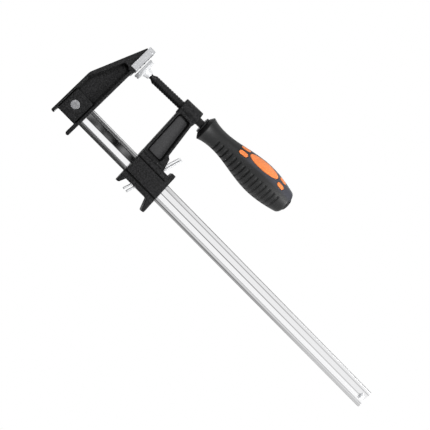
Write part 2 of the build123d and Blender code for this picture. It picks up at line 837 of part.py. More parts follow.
# Grip: soft sleeve over the core, with pockets for the inlays and ribs for the fingers between
with BuildPart() as handle_grip:
    add(grip_surface)
    add(inlay_room.part, mode=Mode.SUBTRACT)
    with BuildSketch(across_screw(grip_front)):
        Circle(core_radius + fixed_gap)
    extrude(amount=core_end + fixed_gap - grip_front, mode=Mode.SUBTRACT)
    with BuildSketch(across_screw(core_end)):
        Circle(plug_radius + fixed_gap)
    extrude(amount=handle_end - core_end, mode=Mode.SUBTRACT)
    for side_angle in (rib_angle, rib_angle + 180):
        start_way = radial(side_angle + rib_arc / 2)
        groove_side = Plane(
            origin=tuple(ball_centre),
            x_dir=tuple(screw_line),
            z_dir=tuple(screw_line.cross(start_way)),
        )
        with BuildSketch(groove_side):
            for rib in range(rib_count):
                station = rib_first + (rib_last - rib_first) * rib / (rib_count - 1)
                top = grip_radius(station) + rib_groove_depth
                floor = grip_radius(station) - rib_groove_depth
                with BuildLine():
                    Polyline(
                        (station - rib_groove_width + rib_groove_floor / 2, top),
                        (station - rib_groove_floor / 2, floor),
                        (station + rib_groove_floor / 2, floor),
                        (station + rib_groove_width - rib_groove_floor / 2, top),
                        close=True,
                    )
                make_face()
        revolve(axis=screw_axis, revolution_arc=rib_arc, mode=Mode.SUBTRACT)
handle_grip.part.label = "handle_grip"
export_step(handle_grip.part, "parts/handle_grip.step")

# End plug: closes the core at the back of the grip
with BuildPart() as handle_end_plug:
    with BuildSketch(across_screw(core_end + fixed_gap)):
        Circle(plug_radius)
    extrude(amount=handle_end + plug_proud - core_end - fixed_gap)
    plug_rims = handle_end_plug.edges().filter_by(GeomType.CIRCLE)
    fillet(plug_rims.sort_by(Axis(tuple(ball_centre), tuple(screw_line)))[-1], plug_round)
handle_end_plug.part.label = "handle_end_plug"
export_step(handle_end_plug.part, "parts/handle_end_plug.step")
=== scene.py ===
"""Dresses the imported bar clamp: castings, plated bar, clutch, screw with its swivel, and handle."""

from __future__ import annotations

import json
import logging
import math
from dataclasses import dataclass
from enum import Enum

import bpy
from mathutils import Matrix, Vector

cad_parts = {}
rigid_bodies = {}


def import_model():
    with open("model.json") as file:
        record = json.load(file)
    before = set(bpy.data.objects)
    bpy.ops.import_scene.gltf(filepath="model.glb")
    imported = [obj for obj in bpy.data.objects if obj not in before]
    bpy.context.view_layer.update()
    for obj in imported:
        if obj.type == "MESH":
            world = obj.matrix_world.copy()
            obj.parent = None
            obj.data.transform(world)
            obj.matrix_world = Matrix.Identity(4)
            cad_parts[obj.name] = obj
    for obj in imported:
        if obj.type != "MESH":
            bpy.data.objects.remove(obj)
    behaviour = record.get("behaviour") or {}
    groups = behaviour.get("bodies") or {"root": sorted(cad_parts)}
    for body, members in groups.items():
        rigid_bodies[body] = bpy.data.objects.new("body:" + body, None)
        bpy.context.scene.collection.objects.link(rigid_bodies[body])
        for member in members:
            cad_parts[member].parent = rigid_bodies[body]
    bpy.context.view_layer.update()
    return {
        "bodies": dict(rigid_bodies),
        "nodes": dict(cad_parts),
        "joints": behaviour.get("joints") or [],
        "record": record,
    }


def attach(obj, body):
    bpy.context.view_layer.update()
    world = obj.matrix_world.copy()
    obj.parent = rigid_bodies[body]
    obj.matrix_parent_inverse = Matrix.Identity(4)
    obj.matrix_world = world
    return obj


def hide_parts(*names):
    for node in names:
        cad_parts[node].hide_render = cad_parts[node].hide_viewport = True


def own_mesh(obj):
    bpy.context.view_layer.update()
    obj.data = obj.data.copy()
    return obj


LOG = logging.getLogger("bar_clamp")
MM = 0.001

# Height of the bar's axis, in millimetres
BAR_AXIS_Z = 26.3
# Centre of the screw's ball, in metres, and the way from it along the screw
BALL_CENTRE = Vector((-180.25, 0.0, 99.55)) * MM
SCREW_TOE_IN = math.radians(3.0)
SCREW_LINE = Vector((math.cos(SCREW_TOE_IN), 0.0, math.sin(SCREW_TOE_IN)))

# Start and end of a groove in the cheek of a casting, each as X and Z, in millimetres
Line = tuple[tuple[float, float], tuple[float, float]]
# Width of such a groove, and how far its cutter reaches outwards from the groove's floor
SCORE_WIDTH = 1.1
SCORE_REACH = 10.0

# Corners closer than this are one corner, in millimetres
WELD = 0.002
# Angles between faces, in degrees: counted as flat, and kept sharp on plain pieces and on castings
FLAT_ANGLE = 1.0
EDGE_ANGLE = 35.0
CAST_ANGLE = 60.0
# How many times the form of a casting is smoothed, and by which share each time
CAST_ROUNDS = 3
CAST_SHARE = 0.5

# Where a value starts and stops to count: a noise, the coat's specks and the floor's mottle, the open
# space over corners of the coat and grooves of the grip, which sets their painted shade, and how far a
# face turns to a side
NOISE_REACH = {"From Min": 0.3, "From Max": 0.7}
SPECK_REACH = {"From Min": 0.4, "From Max": 0.62}
MOTTLE_REACH = {"From Min": 0.46, "From Max": 0.64}
CORNER_REACH = {"From Min": 0.62, "From Max": 0.9}
GROOVE_REACH = {"From Min": 0.66, "From Max": 0.96}
PANEL_REACH = {"From Min": 0.8, "From Max": 0.95}
INLAY_REACH = {"From Min": 0.8, "From Max": 0.93}
# Settings of nodes that mix colours, and white
COLOUR_MIX = {"data_type": "RGBA"}
WHITE = (1.0, 1.0, 1.0, 1.0)


class Body(Enum):
    """Bodies of the clamp that its pieces ride on."""

    BAR = "bar_assembly"
    SLIDE = "sliding_jaw"
    CLUTCH = "clutch"
    SCREW = "screw"
    SWIVEL = "swivel_pad"


class Slot(Enum):
    """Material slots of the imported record."""

    BAR = "bar_plated"
    STEEL = "steel_plated"
    CASTING = "casting_black"
    PAD = "pad_grey"
    SWIVEL = "swivel_plated"
    SCREW = "screw_black"
    SPRING = "spring_steel"
    CORE = "core_black"
    GRIP = "grip_dark"
    INLAY = "inlay_orange"


def linear(colour: str) -> tuple[float, float, float, float]:
    """Turns an sRGB hex colour to the linear values that shaders take.

    Args:
        colour: Six hex digits, with or without a leading hash sign.

    Returns:
        Red, green, blue and an alpha of 1.
    """
    digits = colour.lstrip("#")
    parts = [int(digits[start:start + 2], 16) / 255 for start in (0, 2, 4)]
    red, green, blue = (p / 12.92 if p <= 0.04045 else ((p + 0.055) / 1.055) ** 2.4 for p in parts)
    return red, green, blue, 1.0


def add_node(tree: bpy.types.NodeTree, kind: str, settings: dict, links: dict) -> bpy.types.Node:
    """Adds a node to a tree, sets it up and links sockets into it.

    Args:
        tree: Tree that the node goes into.
        kind: Blender's name for the kind of node.
        settings: Node properties by their names, and input values by input name or number.
        links: What is linked in, by input name or number: a socket, or a node for its first output.

    Returns:
        The new node.
    """
    node = tree.nodes.new(kind)
    for key, value in settings.items():
        if isinstance(key, str) and hasattr(node, key):
            setattr(node, key, value)
        else:
            node.inputs[key].default_value = value
    for key, source in links.items():
        socket = source.outputs[0] if isinstance(source, bpy.types.Node) else source
        tree.links.new(socket, node.inputs[key])
    return node


def set_tones(
    ramp: bpy.types.ColorRamp, tones: tuple[tuple[float, float], ...], low: float, high: float
) -> None:
    """Gives a colour ramp its greys.

    Args:
        ramp: Ramp that is set up.
        tones: Places and their greys, in order.
        low: Place at the start of the ramp.
        high: Place at its end.
    """
    stops = ramp.elements
    for _ in range(len(tones) - 2):
        stops.new(0.5)
    for stop, (place, tone) in zip(stops, tones):
        stop.position = (place - low) / (high - low)
        stop.color = (tone, tone, tone, 1.0)


def deselect() -> None:
    """Deselects every object, so that an operator acts only on what is chosen next."""
    for other in bpy.context.view_layer.objects:
        other.select_set(False)


def pick(piece: bpy.types.Object) -> None:
    """Selects one object alone and makes it the active one.

    Args:
        piece: Object that is picked.
    """
    deselect()
    piece.select_set(True)
    bpy.context.view_layer.objects.active = piece


def apply_modifier(piece: bpy.types.Object, kind: str, settings: dict) -> None:
    """Adds a modifier to a piece, sets it up and applies it.

    Args:
        piece: Object that is changed.
        kind: Blender's name for the kind of modifier.
        settings: Modifier properties by their names.
    """
    modifier = piece.modifiers.new(kind.title(), kind)
    for key, value in settings.items():
        setattr(modifier, key, value)
    pick(piece)
    bpy.ops.object.modifier_apply(modifier=modifier.name)


def smooth(piece: bpy.types.Object, angle: float) -> None:
    """Shades a piece smooth, save where its faces meet at more than an angle in degrees."""
    pick(piece)
    bpy.ops.object.shade_smooth_by_angle(angle=math.radians(angle))


def merged_copy(node: bpy.types.Object, name: str) -> bpy.types.Object:
    """Copies the mesh of a node of the frame into an object of its own, with its corners merged.

    Args:
        node: Node of the frame.
        name: Name of the new piece.

    Returns:
        The new piece, at the origin.
    """
    piece = bpy.data.objects.new(name, node.data.copy())
    piece.data.materials.clear()
    bpy.context.scene.collection.objects.link(piece)
    pick(piece)
    bpy.ops.object.mode_set(mode="EDIT")
    bpy.ops.mesh.customdata_custom_splitnormals_clear()
    bpy.ops.mesh.select_all(action="SELECT")
    bpy.ops.mesh.remove_doubles(threshold=WELD * MM)
    bpy.ops.object.mode_set(mode="OBJECT")
    return piece


def score(piece: bpy.types.Object, line: Line, floor: float) -> None:
    """Cuts a groove into both cheeks of a piece.

    Args:
        piece: Piece that is cut.
        line: Start and end of the groove as X and Z, in millimetres.
        floor: Distance of the groove's floor from the middle plane, in millimetres.
    """
    start, end = Vector(line[0]), Vector(line[1])
    middle, way = (start + end) / 2, end - start
    for side in (-1, 1):
        deselect()
        bpy.ops.mesh.primitive_cube_add(
            size=MM,
            location=(middle.x * MM, side * (floor + SCORE_REACH / 2) * MM, middle.y * MM),
            rotation=(0.0, -math.atan2(way.y, way.x), 0.0),
            scale=(way.length + SCORE_WIDTH, SCORE_REACH, SCORE_WIDTH),
        )
        cutter = bpy.context.object
        apply_modifier(piece, "BOOLEAN", {"operation": "DIFFERENCE", "object": cutter, "solver": "EXACT"})
        bpy.data.objects.remove(cutter)


def cast_copy(
    node: bpy.types.Object,
    name: str,
    grain: float,
    lines: tuple[Line, ...] = (),
    floor: float = 0.0,
) -> bpy.types.Object:
    """Copies a node with the soft edges of a casting or a moulding.

    Args:
        node: Node of the frame.
        name: Name of the new piece.
        grain: Size of the cells that the form is rebuilt from, in millimetres.
        lines: Grooves that are scored into both cheeks.
        floor: Distance of the grooves' floors from the middle plane, in millimetres.

    Returns:
        The new piece.
    """
    piece = merged_copy(node, name)
    for line in lines:
        score(piece, line, floor)
    apply_modifier(piece, "REMESH", {"mode": "VOXEL", "voxel_size": grain * MM})
    apply_modifier(piece, "SMOOTH", {"factor": CAST_SHARE, "iterations": CAST_ROUNDS})
    smooth(piece, CAST_ANGLE)
    return piece


def eased_copy(node: bpy.types.Object, name: str, width: float, segments: int) -> bpy.types.Object:
    """Copies a node of plain faces and eases its sharp edges.

    Args:
        node: Node of the frame.
        name: Name of the new piece.
        width: Width of the eased edge, in millimetres.
        segments: Number of faces across the eased edge.

    Returns:
        The new piece.
    """
    piece = merged_copy(node, name)
    bpy.ops.object.mode_set(mode="EDIT")
    bpy.ops.mesh.select_all(action="SELECT")
    bpy.ops.mesh.dissolve_limited(angle_limit=math.radians(FLAT_ANGLE))
    bpy.ops.object.mode_set(mode="OBJECT")
    settings = {"width": width * MM, "segments": segments, "limit_method": "ANGLE"}
    apply_modifier(piece, "BEVEL", {**settings, "angle_limit": math.radians(EDGE_ANGLE)})
    smooth(piece, EDGE_ANGLE)
    apply_modifier(piece, "WEIGHTED_NORMAL", {"keep_sharp": True, "weight": 100})
    return piece


@dataclass(frozen=True)
class Finish:
    """What all finishes share: two colours, gloss, and a fine grain that roughens and lifts the skin.

    The roughness spreads a little below and above its middle value. Sizes are in millimetres.
    """

    name: str
    colour: str
    second: str
    roughness: float
    metallic: float = 0.0
    specular: float = 0.5
    smoother: float = 0.06
    rougher: float = 0.06
    grain: float = 0.8
    stretch: tuple[float, float, float] = (1.0, 1.0, 1.0)
    height: float = 0.03
    relief: float = 0.5

    def begin(self) -> tuple[bpy.types.NodeTree, bpy.types.Node, bpy.types.NodeSocket]:
        """Makes the material with its shader, whose plain colour is for viewers that read no pattern.

        Returns:
            The material's tree, its shader and the object coordinates' socket.
        """
        material = bpy.data.materials.new(self.name)
        material.use_nodes = True
        tree = material.node_tree
        shader = tree.nodes["Principled BSDF"]
        shader.inputs["Base Color"].default_value = linear(self.colour)
        shader.inputs["Roughness"].default_value = self.roughness
        shader.inputs["Metallic"].default_value = self.metallic
        shader.inputs["Specular IOR Level"].default_value = self.specular
        places = add_node(tree, "ShaderNodeTexCoord", {}, {})
        return tree, shader, places.outputs["Object"]

    def dress_skin(
        self,
        tree: bpy.types.NodeTree,
        shader: bpy.types.Node,
        places: bpy.types.NodeSocket,
        dull: bpy.types.NodeSocket | None = None,
    ) -> bpy.types.NodeSocket:
        """Gives the shader its fine grain, in roughness and in relief.

        Args:
            tree: Tree of the material.
            shader: The material's shader.
            places: Socket of the coordinates.
            dull: Socket of a roughness that is added, if any.

        Returns:
            The grain's value.
        """
        stretched = add_node(tree, "ShaderNodeMapping", {"Scale": self.stretch}, {"Vector": places})
        spots = {"Scale": 1 / (self.grain * MM), "Detail": 3.0}
        skin = add_node(tree, "ShaderNodeTexNoise", spots, {"Vector": stretched}).outputs["Fac"]
        limits = {"To Min": self.roughness - self.smoother, "To Max": self.roughness + self.rougher}
        rough = add_node(tree, "ShaderNodeMapRange", {**NOISE_REACH, **limits}, {"Value": skin})
        if dull is not None:
            rough = add_node(tree, "ShaderNodeMath", {"operation": "ADD"}, {0: rough, 1: dull})
        tree.links.new(rough.outputs[0], shader.inputs["Roughness"])
        lift = {"Strength": self.relief, "Distance": self.height * MM}
        bumps = add_node(tree, "ShaderNodeBump", lift, {"Height": skin})
        tree.links.new(bumps.outputs[0], shader.inputs["Normal"])
        return skin


@dataclass(frozen=True)
class PowderCoat(Finish):
    """Black powder coat baked on cast iron: pebbled and speckled, with a dull sheen, a painted highlight on
    the arm's raised panel and painted shade in inner corners.
    """

    name: str = "powder_coat_black"
    colour: str = "#030304"
    second: str = "#222223"
    roughness: float = 0.5
    specular: float = 0.24
    smoother: float = 0.1
    rougher: float = 0.16
    grain: float = 1.3
    height: float = 0.34
    relief: float = 1.0
    speck: float = 1.6
    # Painted shade in inner corners: its colour, how far the walls count, and the roughness added there
    corner_shade_colour: str = "#020202"
    corner_depth: float = 3.2
    corner_dullness: float = 0.4
    # The arm's raised panel is painted greyer, a painted highlight where its face catches the light; its
    # distance from the middle plane
    panel_highlight_colour: str = "#3a3a3b"
    panel_half: float = 4.0
    panel_play: float = 0.3

    def panel(self, tree: bpy.types.NodeTree, places: bpy.types.NodeSocket) -> bpy.types.Node:
        """Finds the flat faces of the arm's raised panel, which get the painted highlight.

        Args:
            tree: Tree of the material.
            places: Socket of the coordinates.

        Returns:
            Node whose value is 1 on the panel.
        """
        normals = add_node(tree, "ShaderNodeTexCoord", {}, {}).outputs["Normal"]
        across = []
        for vector in (places, normals):
            side = add_node(tree, "ShaderNodeSeparateXYZ", {}, {0: vector}).outputs[1]
            across.append(add_node(tree, "ShaderNodeMath", {"operation": "ABSOLUTE"}, {0: side}))
        level = {"operation": "COMPARE", 1: self.panel_half * MM, 2: self.panel_play * MM}
        near = add_node(tree, "ShaderNodeMath", level, {0: across[0]})
        flat = add_node(tree, "ShaderNodeMapRange", PANEL_REACH, {0: across[1]})
        return add_node(tree, "ShaderNodeMath", {"operation": "MULTIPLY"}, {0: near, 1: flat})

    def material(self) -> bpy.types.Material:
        """Makes the material.

        Returns:
            The new material.
        """
        tree, shader, places = self.begin()
        spots = {"Scale": 1 / (self.speck * MM), "Detail": 4.0}
        specks = add_node(tree, "ShaderNodeTexNoise", spots, {"Vector": places})
        specks = add_node(tree, "ShaderNodeMapRange", SPECK_REACH, {0: specks})
        coats = {**COLOUR_MIX, 6: linear(self.colour), 7: linear(self.second)}
        coat = add_node(tree, "ShaderNodeMix", coats, {0: specks}).outputs[2]
        # Painted highlight: the arm's raised panel is painted grey
        grey = {**COLOUR_MIX, 7: linear(self.panel_highlight_colour)}
        coat = add_node(tree, "ShaderNodeMix", grey, {0: self.panel(tree, places), 6: coat}).outputs[2]
        # Painted shade: inner corners, where the piece's own walls stand close, are painted darker, and are
        # duller
        walls = {"samples": 8, "only_local": True, "Distance": self.corner_depth * MM}
        free = add_node(tree, "ShaderNodeAmbientOcclusion", walls, {}).outputs["AO"]
        free = add_node(tree, "ShaderNodeMapRange", CORNER_REACH, {0: free})
        dark = {**COLOUR_MIX, 6: linear(self.corner_shade_colour)}
        coat = add_node(tree, "ShaderNodeMix", dark, {0: free, 7: coat}).outputs[2]
        tree.links.new(coat, shader.inputs["Base Color"])
        fall = {"To Min": self.corner_dullness, "To Max": 0.0}
        dull = add_node(tree, "ShaderNodeMapRange", fall, {0: free}).outputs[0]
        self.dress_skin(tree, shader, places, dull)
        return bpy.data.materials[self.name]


@dataclass(frozen=True)
class DrawnPlate(Finish):
    """Bright nickel plate on drawn steel: a mirror with hair lines, and painted dark reflections and shade
    lines along it.
    """

    name: str = "nickel_plate_bright"
    colour: str = "#f5f5f6"
    # The second colour is the dark of the painted reflection and shade lines
    second: str = "#0b0b0c"
    roughness: float = 0.12
    metallic: float = 1.0
    smoother: float = 0.04
    rougher: float = 0.05
    grain: float = 0.9
    stretch: tuple[float, float, float] = (0.012, 1.0, 1.0)
    height: float = 0.01
    relief: float = 0.1
    # Painted dark reflections and shade lines: height above the bar's axis, and how much of the plate's
    # brightness is left there
    painted_dark_lines: tuple[tuple[float, float], ...] = (
        (-10.15, 0.3),
        (-9.3, 0.5),
        (-8.75, 0.16),
        (-8.2, 0.16),
        (-7.7, 0.7),
        (-6.3, 0.8),
        (-5.9, 0.45),
        (-5.4, 1.0),
        (-0.75, 1.0),
        (-0.4, 0.2),
        (0.1, 0.2),
        (0.5, 0.95),
        (5.2, 0.95),
        (5.6, 0.4),
        (6.1, 0.4),
        (6.5, 0.92),
        (8.7, 0.95),
        (9.3, 0.56),
        (10.15, 0.3),
    )
    # Half the height that the lines are laid out over, a little more than the bar's own
    half: float = 11.0
    # The painted lines fade between these places along X, and this brightness is left at least
    fade: tuple[float, float] = (-60.0, 140.0)
    faded: float = 0.6
    # The flanges' rounded edges, between these heights, are duller than the drawn faces
    edge: tuple[float, float] = (8.6, 9.4)
    edge_dullness: float = 0.4

    def material(self) -> bpy.types.Material:
        """Makes the material.

        Returns:
            The new material.
        """
        tree, shader, places = self.begin()
        along, _, above = add_node(tree, "ShaderNodeSeparateXYZ", {}, {0: places}).outputs
        reach = {"From Min": (BAR_AXIS_Z - self.half) * MM, "From Max": (BAR_AXIS_Z + self.half) * MM}
        rise = add_node(tree, "ShaderNodeMapRange", reach, {0: above})
        # Painted reflection and shade: dark lines by height along the bar, fainter towards +X
        lines = add_node(tree, "ShaderNodeValToRGB", {}, {0: rise})
        set_tones(lines.color_ramp, self.painted_dark_lines, -self.half, self.half)
        start, end = self.fade
        fading = {"From Min": start * MM, "From Max": end * MM, "To Max": self.faded}
        least = add_node(tree, "ShaderNodeMapRange", fading, {0: along})
        bright = add_node(tree, "ShaderNodeMath", {"operation": "MAXIMUM"}, {0: lines, 1: least})
        plates = {**COLOUR_MIX, 6: linear(self.second), 7: linear(self.colour)}
        plate = add_node(tree, "ShaderNodeMix", plates, {0: bright})
        tree.links.new(plate.outputs[2], shader.inputs["Base Color"])
        # Distance from the axis, as a share of the height from edge to edge
        away = add_node(tree, "ShaderNodeMath", {"operation": "SUBTRACT", 1: 0.5}, {0: rise})
        away = add_node(tree, "ShaderNodeMath", {"operation": "ABSOLUTE"}, {0: away})
        start, end = (height / (2 * self.half) for height in self.edge)
        worn = {"From Min": start, "From Max": end, "To Max": self.edge_dullness}
        dull = add_node(tree, "ShaderNodeMapRange", worn, {0: away}).outputs[0]
        self.dress_skin(tree, shader, places, dull)
        return bpy.data.materials[self.name]


@dataclass(frozen=True)
class ZincPlate(Finish):
    """Zinc plate on turned or stamped steel: bright grey and satin, softly clouded."""

    name: str = "zinc_plate"
    colour: str = "#e4e5e6"
    second: str = "#d6d7d9"
    roughness: float = 0.5
    metallic: float = 0.25
    smoother: float = 0.05
    rougher: float = 0.08
    grain: float = 2.2
    height: float = 0.02
    relief: float = 0.4

    def material(self) -> bpy.types.Material:
        """Makes the material.

        Returns:
            The new material.
        """
        tree, shader, places = self.begin()
        cloud = self.dress_skin(tree, shader, places)
        share = add_node(tree, "ShaderNodeMapRange", NOISE_REACH, {0: cloud})
        plates = {**COLOUR_MIX, 6: linear(self.colour), 7: linear(self.second)}
        plate = add_node(tree, "ShaderNodeMix", plates, {0: share})
        tree.links.new(plate.outputs[2], shader.inputs["Base Color"])
        return bpy.data.materials[self.name]


@dataclass(frozen=True)
class Moulded(Finish):
    """Moulded plastic, or oiled steel that looks as plain: even, with a fine grain, faintly clouded."""

    cloud: float = 14.0

    def material(self) -> bpy.types.Material:
        """Makes the material.

        Returns:
            The new material.
        """
        tree, shader, places = self.begin()
        spots = {"Scale": 1 / (self.cloud * MM), "Detail": 2.0}
        cloud = add_node(tree, "ShaderNodeTexNoise", spots, {"Vector": places})
        share = add_node(tree, "ShaderNodeMapRange", NOISE_REACH, {0: cloud})
        shades = {**COLOUR_MIX, 6: linear(self.colour), 7: linear(self.second)}
        shade = add_node(tree, "ShaderNodeMix", shades, {0: share})
        tree.links.new(shade.outputs[2], shader.inputs["Base Color"])
        self.dress_skin(tree, shader, places)
        return bpy.data.materials[self.name]


@dataclass(frozen=True)
class GripRubber(Finish):
    """Soft thermoplastic rubber: dark and matt, a little blue round the inlays, with painted shade that
    makes the grooves black.

    Stations are millimetres from the ball's centre along the screw.
    """

    name: str = "grip_rubber_dark"
    colour: str = "#101112"
    second: str = "#3a3b43"
    roughness: float = 0.5
    specular: float = 0.42
    smoother: float = 0.08
    rougher: float = 0.08
    height: float = 0.05
    relief: float = 0.6
    # Painted shade: ahead of this station the front cone, facing away from the light, is painted darker
    front_shade_colour: str = "#0c0c0d"
    front_station: float = 77.0
    front_fade: float = 0.3
    inlay_angle: float = 42.0
    smooth_start: float = 118.0
    smooth_end: float = 186.0
    start_fade: float = 14.0
    end_fade: float = 8.0
    # Painted shade in the grooves: its colour, and how far the walls count
    groove_shade_colour: str = "#040404"
    groove_depth: float = 2.4

    def smooth_zone(
        self, tree: bpy.types.NodeTree, along: bpy.types.Node, station: bpy.types.NodeSocket
    ) -> bpy.types.Node:
        """Finds the smooth, bluer stretches round the inlays on both sides.

        Args:
            tree: Tree of the material.
            along: Node of the coordinates along the screw.
            station: Socket of the station.

        Returns:
            Node whose value is 1 in the middle of a stretch.
        """
        flat = add_node(tree, "ShaderNodeVectorMath", {"operation": "MULTIPLY", 1: (0, 1, 1)}, {0: along})
        spoke = add_node(tree, "ShaderNodeVectorMath", {"operation": "NORMALIZE"}, {0: flat})
        angle = math.radians(self.inlay_angle)
        sides = []
        for way in (-1, 1):
            aim = {"operation": "DOT_PRODUCT", 1: (0.0, way * math.cos(angle), math.sin(angle))}
            sides.append(add_node(tree, "ShaderNodeVectorMath", aim, {0: spoke}).outputs["Value"])
        facing = add_node(tree, "ShaderNodeMath", {"operation": "MAXIMUM"}, dict(enumerate(sides)))
        zone = add_node(tree, "ShaderNodeMapRange", INLAY_REACH, {0: facing})
        start, end = self.smooth_start, self.smooth_end
        opening = {"From Min": start * MM, "From Max": (start + self.start_fade) * MM}
        closing = {"From Min": (end + self.end_fade) * MM, "From Max": end * MM}
        for limits in (opening, closing):
            share = add_node(tree, "ShaderNodeMapRange", limits, {0: station})
            zone = add_node(tree, "ShaderNodeMath", {"operation": "MULTIPLY"}, {0: zone, 1: share})
        return zone

    def material(self) -> bpy.types.Material:
        """Makes the material.

        Returns:
            The new material.
        """
        tree, shader, places = self.begin()
        turn = {"vector_type": "TEXTURE", "Location": BALL_CENTRE, "Rotation": (0.0, -SCREW_TOE_IN, 0.0)}
        along = add_node(tree, "ShaderNodeMapping", turn, {"Vector": places})
        station = add_node(tree, "ShaderNodeSeparateXYZ", {}, {0: along}).outputs[0]
        shades = {**COLOUR_MIX, 6: linear(self.colour), 7: linear(self.second)}
        zone = self.smooth_zone(tree, along, station)
        shade = add_node(tree, "ShaderNodeMix", shades, {0: zone}).outputs[2]
        # Painted shade on the front cone, ahead of the front station
        front, fade = self.front_station, self.front_fade
        edge = {"From Min": (front - fade) * MM, "From Max": (front + fade) * MM}
        behind = add_node(tree, "ShaderNodeMapRange", edge, {0: station})
        face = {**COLOUR_MIX, 6: linear(self.front_shade_colour)}
        shade = add_node(tree, "ShaderNodeMix", face, {0: behind, 7: shade}).outputs[2]
        # Painted shade: grooves, where the grip's own walls stand close, are painted near black
        walls = {"samples": 8, "only_local": True, "Distance": self.groove_depth * MM}
        free = add_node(tree, "ShaderNodeAmbientOcclusion", walls, {}).outputs["AO"]
        free = add_node(tree, "ShaderNodeMapRange", GROOVE_REACH, {0: free})
        groove = {**COLOUR_MIX, 6: linear(self.groove_shade_colour)}
        shade = add_node(tree, "ShaderNodeMix", groove, {0: free, 7: shade}).outputs[2]
        tree.links.new(shade, shader.inputs["Base Color"])
        self.dress_skin(tree, shader, places)
        return bpy.data.materials[self.name]


class Shop:
    """Keeps the finishes and hands each piece its finish, its body and the node it stands for."""

    def __init__(self, frame: dict) -> None:
        """Makes every finish of the clamp.

        Args:
            frame: The loaded frame.
        """
        # Soft grey pads: matt and even, with hardly any grain
        pad = Moulded("pad_plastic_grey", "#babbbd", "#b4b5b7", 0.6, specular=0.2, grain=2.5, height=0.01)
        # The swivel is turned, so it is brighter and smoother than the stamped plates
        swivel = ZincPlate("swivel_zinc", "#e6e7e8", "#dcdddf", 0.45, metallic=0.3)
        # Black oxide under oil: near black, with a satin gleam along the screw
        oxide = Moulded("black_oxide_oiled", "#0e0e0f", "#0a0a0b", 0.36, specular=0.35)
        # Drawn spring wire: darker than the plates
        wire = ZincPlate("spring_wire", "#a9abad", "#96989a", 0.34)
        # Hard black plastic of the core and the plug: deep black with little gleam
        core = Moulded("core_plastic_black", "#070708", "#050505", 0.5, specular=0.2)
        # Orange soft plastic of the inlays: an even, warm colour with a faint gleam
        inlay = Moulded("inlay_plastic_orange", "#f28b4d", "#ec8546", 0.42, specular=0.35)
        # The rivet's head is hammered, so it is mottled light and dark
        rivet = ZincPlate(
            "rivet_steel_hammered", "#b4b4b6", "#77787b", 0.5, metallic=0.7, grain=1.1, height=0.12
        )
        self.nodes: dict[str, bpy.types.Object] = frame["nodes"]
        self.finishes: dict[Slot, bpy.types.Material] = {
            Slot.BAR: DrawnPlate().material(),
            Slot.STEEL: ZincPlate().material(),
            Slot.CASTING: PowderCoat().material(),
            Slot.PAD: pad.material(),
            Slot.SWIVEL: swivel.material(),
            Slot.SCREW: oxide.material(),
            Slot.SPRING: wire.material(),
            Slot.CORE: core.material(),
            Slot.GRIP: GripRubber().material(),
            Slot.INLAY: inlay.material(),
        }
        self.rivet: bpy.types.Material = rivet.material()

    def dress(self, piece: bpy.types.Object, slot: Slot) -> None:
        """Gives a piece the finish of a slot."""
        piece.data.materials.clear()
        piece.data.materials.append(self.finishes[slot])

    def keep(self, name: str, slot: Slot) -> None:
        """Keeps a node of the frame and gives it the finish of a slot."""
        self.dress(self.nodes[name], slot)
        LOG.info("%s keeps its shape, finish %s", name, slot.value)

    def place(self, piece: bpy.types.Object, body: Body, slot: Slot, *stands_for: str) -> None:
        """Dresses a new piece, lets it ride on a body and hides the nodes that it stands for.

        Args:
            piece: The new piece.
            body: Body that it rides on.
            slot: Slot of its finish.
            stands_for: Nodes of the frame that it stands for.
        """
        self.dress(piece, slot)
        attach(piece, body.value)
        if stands_for:
            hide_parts(*stands_for)
        piece.data.calc_loop_triangles()
        LOG.info("%s: %d triangles, finish %s", piece.name, len(piece.data.loop_triangles), slot.value)


@dataclass
class FixedJaw:
    """Fixed jaw with its rivet pin and its pad, places in millimetres."""

    shop: Shop
    grain: float = 0.42
    # Grooves inside the back flange, the sloping flange and the front flange
    lines: tuple[Line, ...] = (
        ((-217.7, 15.0), (-217.7, 55.6)),
        ((-217.7, 55.6), (-201.9, 88.0)),
        ((-195.3, 15.0), (-195.3, 87.0)),
    )
    # Distance of the grooves' floors from the middle plane
    floor: float = 7.0

    def build(self) -> None:
        """Builds the casting, the pin and the pad."""
        nodes = self.shop.nodes
        casting = cast_copy(nodes["fixed_jaw"], "fixed_jaw_casting", self.grain, self.lines, self.floor)
        self.shop.place(casting, Body.BAR, Slot.CASTING, "fixed_jaw")
        pin = eased_copy(nodes["fixed_jaw_pin"], "fixed_jaw_rivet", width=0.3, segments=3)
        self.shop.place(pin, Body.BAR, Slot.STEEL, "fixed_jaw_pin")
        pin.data.materials[0] = self.shop.rivet
        pad = eased_copy(nodes["fixed_jaw_pad"], "fixed_jaw_ribbed_pad", width=0.3, segments=2)
        self.shop.place(pad, Body.BAR, Slot.PAD, "fixed_jaw_pad")


@dataclass
class Bar:
    """Plated bar with its stop pin."""

    shop: Shop

    def build(self) -> None:
        """Builds the bar and the stop pin."""
        nodes = self.shop.nodes
        bar = eased_copy(nodes["bar"], "plated_bar", width=0.12, segments=2)
        self.shop.place(bar, Body.BAR, Slot.BAR, "bar")
        pin = eased_copy(nodes["bar_stop_pin"], "stop_pin", width=0.15, segments=2)
        self.shop.place(pin, Body.BAR, Slot.STEEL, "bar_stop_pin")


